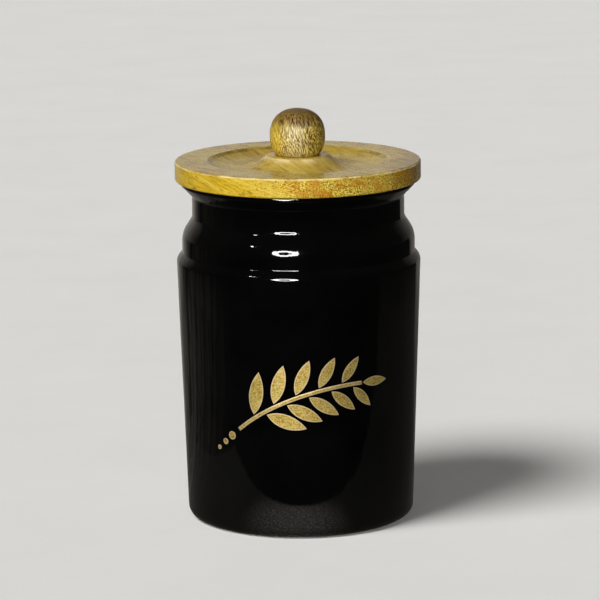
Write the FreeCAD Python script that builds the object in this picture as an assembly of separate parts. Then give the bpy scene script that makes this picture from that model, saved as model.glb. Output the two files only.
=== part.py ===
# Salt canister: a glazed stoneware jar with a stepped shoulder and a flared lip, closed by a
# turned wooden lid. The lid is a dished board with a ball knob, a plug that drops into the neck,
# a finned silicone seal round the plug and one long wood screw that ties them together.
# A gold foil sprig is laid on the front of the jar.
#
# Frame: millimetres, +Z up, origin on the floor at the jar's axis, front of the jar towards -Y.
import FreeCAD
import Part
import math
import os

from FreeCAD import Vector

# Jar, outside
BODY_RADIUS = 50.75  # widest radius, at the lower shoulder
BODY_HEIGHT = 109.3  # floor to the lower shoulder's corner
FOOT_TAPER = 3.55  # the foot is this much narrower in radius than the body
FOOT_EDGE_ROUND = 4.0
STEP_IN = 2.35  # small step from the body to the band above it
STEP_HEIGHT = 2.8
STEP_ROUND = 4.0
STEP_ROOT_ROUND = 1.2
BAND_HEIGHT = 7.7
SHOULDER_IN = 4.33  # upper shoulder, from the band to the neck
SHOULDER_HEIGHT = 6.7
SHOULDER_ROUND = 11.0
NECK_ROOT_ROUND = 5.0
NECK_HEIGHT = 9.2
LIP_OUT = 4.53  # the lip flares this far out from the neck
LIP_FLARE_HEIGHT = 4.7
LIP_ROOT_ROUND = 1.8
LIP_EDGE_HEIGHT = 1.7
LIP_EDGE_ROUND = 0.8

# Jar, inside and underneath
WALL = 4.2
BASE_THICKNESS = 5.5
FLOOR_ROUND = 6.0
INSIDE_ROUND = 8.0  # soft bends of the inside, at the shoulder and under the neck
FOOT_RING_WIDTH = 5.0
FOOT_RECESS = 1.5

# Lid board
LID_OVERHANG = 2.4  # past the lip
LID_THICKNESS = 8.1
LID_TOP_ROUND = 1.0
LID_BOTTOM_ROUND = 0.8
LID_RIM_WIDTH = 13.2  # flat ring round the dish
DISH_DEPTH = 3.0
DISH_FLOOR_SHARE = 0.53  # place of the lowest circle, from the boss to the dish's edge
BOSS_RISE = 2.0  # the knob's seat stands this far over the rim
BOSS_MARGIN = 3.6  # the seat is this much wider in radius than the knob's foot

# Ball knob, a slightly squared ball with a flat foot
KNOB_RADIUS = 11.45
KNOB_HALF_HEIGHT = 11.25
KNOB_POWER = 2.3  # 2 is a plain ellipse, more is squarer
KNOB_FOOT_SHARE = 0.70  # share of the lower half that is left above the flat foot
KNOB_CURVE_STEPS = 14

# Lid plug, with the groove that holds the seal
PLUG_GAP = 1.6  # between the plug and the neck
PLUG_DEPTH = 14.0
PLUG_CHAMFER = 1.2
GROOVE_DEPTH = 2.2
GROOVE_LAND = 2.6  # plug left below the groove

# Silicone seal
SEAL_HEIGHT = 5.2
SEAL_BAND = 1.6
SEAL_PLAY = 0.1  # running clearance in the groove
SEAL_WALL_GAP = 0.3  # from the fin tips to the neck
FIN_COUNT = 3
FIN_ROOT = 1.0
FIN_TIP = 0.5
FIN_RISE = 0.4  # the tips lean up by this much

# Countersunk wood screw, from under the plug up into the knob
SCREW_SHANK_RADIUS = 2.0
SCREW_CORE_RADIUS = 1.4
SCREW_HEAD_RADIUS = 3.9
SCREW_BITE = 10.0  # length in the knob
SCREW_POINT = 2.4
SCREW_RIDGES = 5
SCREW_PLAY = 0.2  # clearance hole through the plug and the board
RIDGE_ROOT_SHARES = (0.25, 0.5)  # start and end of a ridge's flat root, of one pitch
RECESS_DEPTH = 1.7
RECESS_REACH = 2.1
RECESS_WIDTH = 0.9

# Gold foil sprig on the front
FOIL_THICKNESS = 0.12
SPRIG_HEIGHT = 55.0  # middle of the stem's chord above the floor
STEM_CHORD = 56.0
STEM_TILT_DEG = 20.0
STEM_BULGE = 5.0
STEM_WIDTH = 1.6
LEAF_COUNT = 10
LEAF_LENGTH = 18.0
LEAF_WIDTH = 6.0
LEAF_TIP_SHARE = 0.66  # size of the leaf nearest the tip, against the one nearest the foot
LEAF_ANGLE_DEG = 49.0
LEAF_GAP = 0.6  # bare glaze between a leaf and the stem
LEAF_NEAR_SHARE = 0.25  # poles of a leaf's outline, of its length
LEAF_FAR_SHARE = 0.67
LEAF_SWELL_SHARE = 0.67  # the poles' place to the side, of its width
FIRST_LEAF_SHARE = 0.17  # place of the first leaf along the stem
LAST_LEAF_SHARE = 0.93
BERRY_RADIUS = 1.7
BERRY_COUNT = 3
BERRY_STEP = 4.6  # from the stem's foot to the first berry, and from berry to berry
BERRY_SHRINK_SHARE = 0.75  # size of a berry, against the one before it

OVERRUN = 5.0  # how far cutting tools pass the surface they cut
ROUND_SHARE = 0.48  # most of a straight run that one rounded corner may use

# Places worked out from the sizes above
FOOT_RADIUS = BODY_RADIUS - FOOT_TAPER
BAND_RADIUS = BODY_RADIUS - STEP_IN
NECK_RADIUS = BAND_RADIUS - SHOULDER_IN
LIP_RADIUS = NECK_RADIUS + LIP_OUT
NECK_BORE = NECK_RADIUS - WALL
LIP_BORE = LIP_RADIUS - WALL
BAND_FOOT_Z = BODY_HEIGHT + STEP_HEIGHT
BAND_TOP_Z = BAND_FOOT_Z + BAND_HEIGHT
NECK_FOOT_Z = BAND_TOP_Z + SHOULDER_HEIGHT
NECK_TOP_Z = NECK_FOOT_Z + NECK_HEIGHT
LIP_EDGE_Z = NECK_TOP_Z + LIP_FLARE_HEIGHT
RIM_Z = LIP_EDGE_Z + LIP_EDGE_HEIGHT

LID_RADIUS = LIP_RADIUS + LID_OVERHANG
LID_TOP_Z = RIM_Z + LID_THICKNESS
SEAT_Z = LID_TOP_Z + BOSS_RISE
KNOB_DROP = KNOB_HALF_HEIGHT * KNOB_FOOT_SHARE
KNOB_MIDDLE_Z = SEAT_Z + KNOB_DROP
KNOB_FOOT_RADIUS = KNOB_RADIUS * (1 - KNOB_FOOT_SHARE**KNOB_POWER) ** (1 / KNOB_POWER)
PLUG_RADIUS = NECK_BORE - PLUG_GAP
PLUG_BOTTOM_Z = RIM_Z - PLUG_DEPTH
GROOVE_RADIUS = PLUG_RADIUS - GROOVE_DEPTH
GROOVE_Z = PLUG_BOTTOM_Z + GROOVE_LAND
SCREW_HOLE_RADIUS = SCREW_SHANK_RADIUS + SCREW_PLAY
SCREW_TIP_Z = SEAT_Z + SCREW_BITE


def body_radius_at(z):
    """Outside radius of the jar's tapered body at a height."""
    return FOOT_RADIUS + FOOT_TAPER * z / BODY_HEIGHT


def at(radius, z):
    """A point of a turned profile, in the XZ plane."""
    return Vector(radius, 0, z)


def rounded_edges(corners):
    """Edges through (point, rounding) corners. The first and last points are plain ends."""
    edges = []
    start = corners[0][0]
    for i in range(1, len(corners) - 1):
        before, (corner, rounding), after = corners[i - 1][0], corners[i], corners[i + 1][0]
        back, ahead = before - corner, after - corner
        half_angle = back.getAngle(ahead) / 2
        run = min(back.Length, ahead.Length) * ROUND_SHARE
        setback = min(rounding / math.tan(half_angle), run)
        radius = setback * math.tan(half_angle)
        back.normalize()
        ahead.normalize()
        middle = back + ahead
        middle.normalize()
        first = corner + back * setback
        last = corner + ahead * setback
        top = corner + middle * (radius / math.sin(half_angle) - radius)
        edges.append(Part.LineSegment(start, first).toShape())
        edges.append(Part.Arc(first, top, last).toShape())
        start = last
    edges.append(Part.LineSegment(start, corners[-1][0]).toShape())
    return edges


def straight_edges(points):
    """Straight edges from point to point."""
    return [Part.LineSegment(a, b).toShape() for a, b in zip(points, points[1:])]


def turned(edges):
    """The solid turned about the Z axis from a closed profile."""
    face = Part.Face(Part.Wire(Part.__sortEdges__(edges)))
    return face.revolve(Vector(0, 0, 0), Vector(0, 0, 1), 360)


def jar_body():
    """Stoneware shell: outside up to the rim, down the inside to the floor, then the foot."""
    ring_outer = FOOT_RADIUS - FOOT_EDGE_ROUND
    ring_inner = ring_outer - FOOT_RING_WIDTH
    inside_shoulder_z = BODY_HEIGHT - WALL
    corners = [
        (at(ring_inner, 0), 0),
        (at(FOOT_RADIUS, 0), FOOT_EDGE_ROUND),
        (at(BODY_RADIUS, BODY_HEIGHT), STEP_ROUND),
        (at(BAND_RADIUS, BAND_FOOT_Z), STEP_ROOT_ROUND),
        (at(BAND_RADIUS, BAND_TOP_Z), SHOULDER_ROUND),
        (at(NECK_RADIUS, NECK_FOOT_Z), NECK_ROOT_ROUND),
        (at(NECK_RADIUS, NECK_TOP_Z), LIP_ROOT_ROUND),
        (at(LIP_RADIUS, LIP_EDGE_Z), LIP_EDGE_ROUND),
        (at(LIP_RADIUS, RIM_Z), LIP_EDGE_ROUND),
        (at(LIP_BORE, RIM_Z), LIP_EDGE_ROUND),
        (at(NECK_BORE, RIM_Z - LIP_FLARE_HEIGHT), LIP_ROOT_ROUND),
        (at(NECK_BORE, NECK_FOOT_Z), INSIDE_ROUND),
        (at(body_radius_at(inside_shoulder_z) - WALL, inside_shoulder_z), INSIDE_ROUND),
        (at(body_radius_at(BASE_THICKNESS) - WALL, BASE_THICKNESS), FLOOR_ROUND),
        (at(0, BASE_THICKNESS), 0),
    ]
    underside = [
        at(0, BASE_THICKNESS),
        at(0, FOOT_RECESS),
        at(ring_inner - FOOT_RECESS, FOOT_RECESS),
        at(ring_inner, 0),
    ]
    return turned(rounded_edges(corners) + straight_edges(underside))


def cove(lowest, end):
    """Round cut from its lowest point, level there, to an end point higher up."""
    run, rise = end.x - lowest.x, end.z - lowest.z
    radius = (run**2 + rise**2) / (2 * rise)
    half_turn = math.asin(run / radius) / 2
    drop = radius * (1 - math.cos(half_turn))
    middle = at(lowest.x + radius * math.sin(half_turn), lowest.z + drop)
    return Part.Arc(lowest, middle, end).toShape()


def lid_board():
    """Round board with a dished top that leaves a flat rim and a boss for the knob."""
    boss_edge = at(KNOB_FOOT_RADIUS + BOSS_MARGIN, SEAT_Z)
    dish_edge = at(LID_RADIUS - LID_RIM_WIDTH, LID_TOP_Z)
    floor_radius = boss_edge.x + (dish_edge.x - boss_edge.x) * DISH_FLOOR_SHARE
    lowest = at(floor_radius, LID_TOP_Z - DISH_DEPTH)
    rim = [
        (dish_edge, 0),
        (at(LID_RADIUS, LID_TOP_Z), LID_TOP_ROUND),
        (at(LID_RADIUS, RIM_Z), LID_BOTTOM_ROUND),
        (at(SCREW_HOLE_RADIUS, RIM_Z), 0),
    ]
    bore = [at(SCREW_HOLE_RADIUS, RIM_Z), at(SCREW_HOLE_RADIUS, SEAT_Z), boss_edge]
    dish = [cove(lowest, boss_edge), cove(lowest, dish_edge)]
    return turned(rounded_edges(rim) + straight_edges(bore) + dish)


def lid_plug():
    """Disc glued under the board, with the seal's groove and the screw's countersunk hole."""
    groove_top = GROOVE_Z + SEAL_HEIGHT + SEAL_PLAY * 2
    mouth_radius = SCREW_HEAD_RADIUS + SCREW_PLAY
    profile = [
        at(SCREW_HOLE_RADIUS, RIM_Z),
        at(PLUG_RADIUS, RIM_Z),
        at(PLUG_RADIUS, groove_top),
        at(GROOVE_RADIUS, groove_top),
        at(GROOVE_RADIUS, GROOVE_Z),
        at(PLUG_RADIUS, GROOVE_Z),
        at(PLUG_RADIUS, PLUG_BOTTOM_Z + PLUG_CHAMFER),
        at(PLUG_RADIUS - PLUG_CHAMFER, PLUG_BOTTOM_Z),
        at(mouth_radius, PLUG_BOTTOM_Z),
        at(SCREW_HOLE_RADIUS, PLUG_BOTTOM_Z + mouth_radius - SCREW_HOLE_RADIUS),
        at(SCREW_HOLE_RADIUS, RIM_Z),
    ]
    return turned(straight_edges(profile))


def seal_ring():
    """Silicone band in the plug's groove, with soft fins that lean up towards the neck."""
    inner = GROOVE_RADIUS + SEAL_PLAY
    outer = inner + SEAL_BAND
    tip = NECK_BORE - SEAL_WALL_GAP
    low = GROOVE_Z + SEAL_PLAY
    pitch = SEAL_HEIGHT / FIN_COUNT
    profile = [at(inner, low), at(outer, low)]
    for i in range(FIN_COUNT):
        middle = low + pitch * (i + 1 / 2)
        profile.append(at(outer, middle - FIN_ROOT / 2))
        profile.append(at(tip, middle + FIN_RISE - FIN_TIP / 2))
        profile.append(at(tip, middle + FIN_RISE + FIN_TIP / 2))
        profile.append(at(outer, middle + FIN_ROOT / 2))
    profile += [at(outer, low + SEAL_HEIGHT), at(inner, low + SEAL_HEIGHT), at(inner, low)]
    return turned(straight_edges(profile))


def knob_screw():
    """Countersunk wood screw: flat head with a cross recess, shank, ridged end and point."""
    thread_end = SCREW_TIP_Z - SCREW_POINT
    pitch = (thread_end - SEAT_Z) / SCREW_RIDGES
    profile = [
        at(0, PLUG_BOTTOM_Z),
        at(SCREW_HEAD_RADIUS, PLUG_BOTTOM_Z),
        at(SCREW_SHANK_RADIUS, PLUG_BOTTOM_Z + SCREW_HEAD_RADIUS - SCREW_SHANK_RADIUS),
        at(SCREW_SHANK_RADIUS, SEAT_Z),
    ]
    for i in range(SCREW_RIDGES):
        low = SEAT_Z + pitch * i
        for share in RIDGE_ROOT_SHARES:
            profile.append(at(SCREW_CORE_RADIUS, low + pitch * share))
        profile.append(at(SCREW_SHANK_RADIUS, low + pitch))
    profile += [at(0, SCREW_TIP_Z), at(0, PLUG_BOTTOM_Z)]
    screw = turned(straight_edges(profile))
    for reach, width in ((RECESS_REACH, RECESS_WIDTH), (RECESS_WIDTH, RECESS_REACH)):
        corner = Vector(-reach, -width, PLUG_BOTTOM_Z - OVERRUN)
        slot = Part.makeBox(reach * 2, width * 2, RECESS_DEPTH + OVERRUN, corner)
        screw = screw.cut(slot)
    return screw


def lid_knob():
    """Squared ball with a flat foot, with the screw's own shape left in it as its thread."""
    low_angle = -math.asin(KNOB_FOOT_SHARE ** (KNOB_POWER / 2))
    points = []
    for i in range(KNOB_CURVE_STEPS + 1):
        angle = low_angle + (math.pi / 2 - low_angle) * i / KNOB_CURVE_STEPS
        across = math.cos(angle) ** (2 / KNOB_POWER)
        up = math.copysign(abs(math.sin(angle)) ** (2 / KNOB_POWER), angle)
        points.append(at(KNOB_RADIUS * across, KNOB_MIDDLE_Z + KNOB_HALF_HEIGHT * up))
    points[-1] = at(0, KNOB_MIDDLE_Z + KNOB_HALF_HEIGHT)
    outline = Part.BSplineCurve()
    outline.interpolate(points)
    flat = straight_edges([points[-1], at(0, SEAT_Z), points[0]])
    return turned([outline.toShape()] + flat).cut(knob_screw())


def front_point(along, z):
    """Place of a point measured round the front of the body, as seen from straight ahead."""
    radius = body_radius_at(SPRIG_HEIGHT)
    return at(radius * math.sin(along / radius), z)


def on_front(outline):
    """Foil of an outline seen from straight ahead, laid on the front of the tapered body."""
    foil = [
        at(body_radius_at(0), 0),
        at(body_radius_at(BODY_HEIGHT), BODY_HEIGHT),
        at(body_radius_at(BODY_HEIGHT) + FOIL_THICKNESS, BODY_HEIGHT),
        at(body_radius_at(0) + FOIL_THICKNESS, 0),
        at(body_radius_at(0), 0),
    ]
    reach = Vector(0, -BODY_RADIUS - OVERRUN, 0)
    return Part.Face(outline).extrude(reach).common(turned(straight_edges(foil)))


class Stem:
    """Middle line of the sprig's stem: one round arc on the flat foil, from foot to tip."""

    def __init__(self):
        self.radius = ((STEM_CHORD / 2) ** 2 + STEM_BULGE**2) / (2 * STEM_BULGE)
        self.half_angle = math.asin(STEM_CHORD / 2 / self.radius)
        self.tilt = math.radians(STEM_TILT_DEG)

    def heading(self, share):
        """Direction of travel, as an angle above level, at a share of the stem's length."""
        return self.tilt + self.half_angle * (1 - 2 * share)

    def point(self, share, side=0):
        """Point at a share of the length and a distance to the left of travel, on the flat foil."""
        out = self.heading(share) + math.pi / 2
        middle = self.tilt + math.pi / 2
        rise = self.radius * math.cos(self.half_angle)
        x = (self.radius + side) * math.cos(out) - rise * math.cos(middle)
        z = (self.radius + side) * math.sin(out) - rise * math.sin(middle)
        return at(x, SPRIG_HEIGHT + z)


STEM = Stem()


def gold_stem():
    """Thin curved strip, cut square at both ends."""
    sides = []
    for side, shares in ((STEM_WIDTH / 2, (0, 1 / 2, 1)), (-STEM_WIDTH / 2, (1, 1 / 2, 0))):
        flat = [STEM.point(share, side) for share in shares]
        sides.append([front_point(p.x, p.z) for p in flat])
    left, right = sides
    edges = [
        Part.Arc(*left).toShape(),
        Part.LineSegment(left[-1], right[0]).toShape(),
        Part.Arc(*right).toShape(),
        Part.LineSegment(right[-1], left[0]).toShape(),
    ]
    return on_front(Part.Wire(edges))


def leaf(base, angle, size_share):
    """Pointed leaf from its base on the flat foil, along an angle above level."""
    length = LEAF_LENGTH * size_share
    width = LEAF_WIDTH * size_share
    along = at(math.cos(angle), math.sin(angle))
    across = at(-math.sin(angle), math.cos(angle))
    tip = base + along * length
    sides = []
    for side in (1, -1):
        swell = across * (width * LEAF_SWELL_SHARE * side)
        near = base + along * (length * LEAF_NEAR_SHARE) + swell
        far = base + along * (length * LEAF_FAR_SHARE) + swell
        curve = Part.BezierCurve()
        curve.setPoles([front_point(p.x, p.z) for p in (base, near, far, tip)])
        sides.append(curve.toShape())
    return on_front(Part.Wire(sides))


def gold_leaves():
    """Leaves in turn on both sides of the stem, smaller towards its tip, and one at its end."""
    leaves = []
    for i in range(LEAF_COUNT):
        place = i / (LEAF_COUNT - 1)
        share = FIRST_LEAF_SHARE + (LAST_LEAF_SHARE - FIRST_LEAF_SHARE) * place
        size_share = 1 + (LEAF_TIP_SHARE - 1) * place
        side = 1 if i % 2 == 0 else -1
        base = STEM.point(share, side * (STEM_WIDTH / 2 + LEAF_GAP))
        leaves.append(leaf(base, STEM.heading(share) + side * math.radians(LEAF_ANGLE_DEG), size_share))
    heading = STEM.heading(1)
    end = STEM.point(1) + at(math.cos(heading), math.sin(heading)) * LEAF_GAP
    leaves.append(leaf(end, heading, LEAF_TIP_SHARE))
    return Part.Compound([solid for shape in leaves for solid in shape.Solids])


def gold_berries():
    """Round dots that trail off from the stem's foot, each smaller than the one before."""
    heading = STEM.heading(0)
    back = at(-math.cos(heading), -math.sin(heading))
    berries = []
    for i in range(BERRY_COUNT):
        middle = STEM.point(0) + back * (BERRY_STEP * (i + 1))
        radius = BERRY_RADIUS * BERRY_SHRINK_SHARE**i
        ring = Part.makeCircle(radius, front_point(middle.x, middle.z), Vector(0, 1, 0))
        berries.append(on_front(Part.Wire(ring)))
    return Part.Compound([solid for shape in berries for solid in shape.Solids])


NODES = {
    "jar_body": jar_body,
    "gold_stem": gold_stem,
    "gold_leaves": gold_leaves,
    "gold_berries": gold_berries,
    "lid_board": lid_board,
    "lid_plug": lid_plug,
    "seal_ring": seal_ring,
    "lid_knob": lid_knob,
    "knob_screw": knob_screw,
}


def main():
    os.makedirs("parts", exist_ok=True)
    for name, make in NODES.items():
        shape = make()
        shape.exportStep(os.path.join("parts", name + ".step"))
        print(name, "solids", len(shape.Solids), "volume", round(shape.Volume, 1), "valid", shape.isValid())


if __name__ == "__main__":
    main()
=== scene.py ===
# Looks of the salt canister: black glazed jar with a gold sprig, turned wooden lid, silicone seal
# and steel screw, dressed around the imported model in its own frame.
# Metres, +Z up, origin on the floor at the jar's axis, front of the jar towards -Y.
import math
from typing import NamedTuple

import bmesh
import bpy
from mathutils import Euler, Matrix, Vector


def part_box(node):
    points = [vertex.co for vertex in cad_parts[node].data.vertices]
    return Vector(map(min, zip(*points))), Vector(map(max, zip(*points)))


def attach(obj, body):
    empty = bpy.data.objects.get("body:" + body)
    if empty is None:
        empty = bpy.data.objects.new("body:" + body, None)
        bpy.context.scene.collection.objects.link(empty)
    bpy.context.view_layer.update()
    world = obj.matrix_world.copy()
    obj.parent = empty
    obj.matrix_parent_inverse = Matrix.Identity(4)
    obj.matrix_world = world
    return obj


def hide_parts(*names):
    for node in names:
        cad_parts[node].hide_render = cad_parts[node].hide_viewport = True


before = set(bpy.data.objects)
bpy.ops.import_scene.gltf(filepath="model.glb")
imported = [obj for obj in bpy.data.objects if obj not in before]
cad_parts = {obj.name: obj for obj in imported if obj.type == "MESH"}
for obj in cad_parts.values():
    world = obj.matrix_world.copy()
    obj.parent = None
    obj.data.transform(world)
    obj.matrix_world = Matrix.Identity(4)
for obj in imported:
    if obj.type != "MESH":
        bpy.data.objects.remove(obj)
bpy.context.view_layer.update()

# Places read from the frame
BOARD_LOW, BOARD_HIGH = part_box("lid_board")
PLUG_LOW, PLUG_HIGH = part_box("lid_plug")
SEAL_LOW, SEAL_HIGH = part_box("seal_ring")
KNOB_LOW, KNOB_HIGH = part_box("lid_knob")
RIM_Z = BOARD_LOW.z
SEAT_Z = BOARD_HIGH.z
LID_RADIUS = BOARD_HIGH.x

# Jar, outside
BODY_RADIUS = 0.05075
BODY_HEIGHT = 0.1093
FOOT_TAPER = 0.00355
FOOT_EDGE_ROUND = 0.004
STEP_IN = 0.00235
STEP_HEIGHT = 0.0028
STEP_ROUND = 0.004
STEP_ROOT_ROUND = 0.0012
BAND_HEIGHT = 0.0077
SHOULDER_IN = 0.00433
SHOULDER_HEIGHT = 0.0067
SHOULDER_ROUND = 0.011
NECK_ROOT_ROUND = 0.005
NECK_HEIGHT = 0.0092
LIP_OUT = 0.00453
LIP_FLARE_HEIGHT = 0.0047
LIP_ROOT_ROUND = 0.0018
LIP_EDGE_ROUND = 0.0008
LIP_TOP_ROUND = 0.0011
LIP_LEAN = 0.00023  # inward lean of the lip's short face

# Jar, inside and underneath
WALL = 0.0042
BASE_THICKNESS = 0.0055
FLOOR_ROUND = 0.006
INSIDE_ROUND = 0.008
FOOT_RING_WIDTH = 0.005
FOOT_RECESS = 0.0015

# Lid
LID_TOP_ROUND = 0.001
LID_BOTTOM_ROUND = 0.0008
LID_RIM_WIDTH = 0.0132
RIM_FLAT_MARGIN = 0.003  # from the lid's edge to the end of the rim's flat
DISH_DEPTH = 0.003
DISH_FLOOR_SHARE = 0.53
BOSS_RISE = 0.002
BOSS_MARGIN = 0.0036
SCREW_HOLE_RADIUS = 0.0022
EDGE_SOFTNESS = 0.0008  # worn rounding of the dish's and the boss's edges
KNOB_POWER = 2.3
KNOB_FOOT_SHARE = 0.70
KNOB_FOOT_ROUND = 0.0006
PLUG_CHAMFER = 0.0012
GROOVE_DEPTH = 0.0022
GROOVE_LAND = 0.0026
GROOVE_PLAY = 0.0001
SCREW_MOUTH_RADIUS = 0.0041
SEAL_BAND = 0.0016
FIN_COUNT = 3
FIN_ROOT = 0.001
FIN_TIP = 0.0005
FIN_RISE = 0.0004
FIN_ROUND = 0.0002
DISH_RADIUS = LID_RADIUS - LID_RIM_WIDTH
KNOB_RADIUS = KNOB_HIGH.x
KNOB_HALF_HEIGHT = (KNOB_HIGH.z - KNOB_LOW.z) / (1 + KNOB_FOOT_SHARE)
KNOB_MIDDLE_Z = KNOB_HIGH.z - KNOB_HALF_HEIGHT
KNOB_FOOT_RADIUS = KNOB_RADIUS * (1 - KNOB_FOOT_SHARE**KNOB_POWER) ** (1 / KNOB_POWER)

# Gold sprig
FOIL_THICKNESS = 0.00012
FOIL_BORDER = 0.0004  # paler line round each shape
SPRIG_HEIGHT = 0.055
STEM_CHORD = 0.056
STEM_TILT = math.radians(20)
STEM_BULGE = 0.005
STEM_WIDTH = 0.0016
LEAF_COUNT = 10
LEAF_LENGTH = 0.018
LEAF_WIDTH = 0.006
LEAF_TIP_SHARE = 0.66
LEAF_ANGLE = math.radians(49)
LEAF_GAP = 0.0006
LEAF_NEAR_SHARE = 0.25
LEAF_FAR_SHARE = 0.67
LEAF_SWELL_SHARE = 0.67
FIRST_LEAF_SHARE = 0.17
LAST_LEAF_SHARE = 0.93
BERRY_RADIUS = 0.0017
BERRY_COUNT = 3
BERRY_STEP = 0.0046
BERRY_SHRINK_SHARE = 0.75

# Meshes
TURN_STEPS = 256
ARC_STEP = math.radians(4)
ROUND_SHARE = 0.48  # most of a straight run that one rounded corner may use
DISH_ARC_STEPS = 24
SOFT_STEPS = 4  # points within reach, to each side, where an edge is worn
KNOB_TURN_STEPS = 128
KNOB_STEPS = 64
KNOB_FOOT_STEPS = 3  # steps of the knob's outline that its foot's rounding takes up
LEAF_ALONG_STEPS = 48
LEAF_ACROSS_STEPS = 16
STEM_STEPS = 96
STEM_ACROSS_STEPS = 6
BERRY_RINGS = 6
BERRY_STEPS = 32
LAMP_STEPS = 64
FLOOR_STEPS = 128
MERGE_REACH = 1e-7
FLAT_REACH = 1e-8

# Camera, fitted to the photograph's frame
CAMERA_PLACE = Vector((0.000386, -1.4012, 0.3747))
CAMERA_PITCH = math.radians(11.465)
CAMERA_ROLL = math.radians(0.572)
FRAME_PIXELS = 600
FOCAL_PIXELS = 3423


# Mesh tools


def rounded(corners):
    """Points through ((radius, height), rounding) corners, with arcs at the corners."""
    points = [Vector(corners[0][0])]
    for i in range(1, len(corners) - 1):
        before = Vector(corners[i - 1][0])
        corner = Vector(corners[i][0])
        after = Vector(corners[i + 1][0])
        back, ahead = before - corner, after - corner
        half_angle = back.angle(ahead) / 2
        run = min(back.length, ahead.length) * ROUND_SHARE
        setback = min(corners[i][1] / math.tan(half_angle), run)
        radius = setback * math.tan(half_angle)
        if radius <= 0:
            points.append(corner)
            continue
        middle = (back.normalized() + ahead.normalized()).normalized()
        centre = corner + middle * (radius / math.sin(half_angle))
        first = corner + back.normalized() * setback - centre
        turn = first.angle_signed(corner + ahead.normalized() * setback - centre)
        steps = max(2, math.ceil(abs(turn) / ARC_STEP))
        for k in range(steps + 1):
            points.append(centre + Matrix.Rotation(-turn * k / steps, 2) @ first)
    points.append(Vector(corners[-1][0]))
    return points


def arc_points(lowest, end, steps):
    """Points of a round cut from its lowest point, level there, to an end point higher up."""
    run, rise = end[0] - lowest[0], end[1] - lowest[1]
    radius = (run**2 + rise**2) / (2 * rise)
    turn = math.asin(run / radius)
    points = []
    for k in range(steps + 1):
        angle = turn * k / steps
        points.append(Vector(lowest) + Vector((math.sin(angle), 1 - math.cos(angle))) * radius)
    return points


def softened(points, reach):
    """The same line with its corners worn: each point is the mean of the line within reach of it."""
    step = reach / SOFT_STEPS
    dense = [points[0]]
    for a, b in zip(points, points[1:]):
        count = max(1, math.ceil((b - a).length / step))
        dense += [a.lerp(b, k / count) for k in range(1, count + 1)]
    wear_and_top_shade = []
    for i in range(len(dense)):
        span = min(SOFT_STEPS, i, len(dense) - 1 - i)
        group = dense[i - span : i + span + 1]
        wear_and_top_shade.append(sum(group, Vector((0, 0))) / len(group))
    return wear_and_top_shade


def mesh_object(name, bm, material):
    """Put a mesh with one material into the scene."""
    mesh = bpy.data.meshes.new(name)
    bm.to_mesh(mesh)
    bm.free()
    mesh.materials.append(material)
    made = bpy.data.objects.new(name, mesh)
    bpy.context.scene.collection.objects.link(made)
    return made


def new_piece(name, bm, body, material, node):
    """Make a smooth mesh piece that rides on a body and stands for a node."""
    bmesh.ops.recalc_face_normals(bm, faces=bm.faces)
    piece = mesh_object(name, bm, material)
    piece.data.polygons.foreach_set("use_smooth", [True] * len(piece.data.polygons))
    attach(piece, body)
    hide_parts(node)
    return piece


def ring_of_verts(bm, radius, z, steps):
    """Vertices evenly round the Z axis."""
    angles = [2 * math.pi * k / steps for k in range(steps)]
    return [bm.verts.new((radius * math.cos(a), radius * math.sin(a), z)) for a in angles]


def turned(profile, steps=TURN_STEPS):
    """Mesh turned about the Z axis from profile points. A point on the axis is one vertex."""
    bm = bmesh.new()
    rings = []
    for radius, z in profile:
        if radius <= 0:
            rings.append([bm.verts.new((0, 0, z))])
        else:
            rings.append(ring_of_verts(bm, radius, z, steps))
    for low, high in zip(rings, rings[1:]):
        for k in range(steps):
            n = (k + 1) % steps
            if len(low) == 1:
                bm.faces.new((low[0], high[n], high[k]))
            elif len(high) == 1:
                bm.faces.new((low[k], low[n], high[0]))
            else:
                bm.faces.new((low[k], low[n], high[n], high[k]))
    return bm


def turned_closed(profile, steps=TURN_STEPS):
    """Mesh turned from a closed profile that stays off the axis."""
    bm = turned(list(profile) + [profile[0]], steps)
    bmesh.ops.remove_doubles(bm, verts=bm.verts, dist=MERGE_REACH)
    return bm


# Material tools


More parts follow.
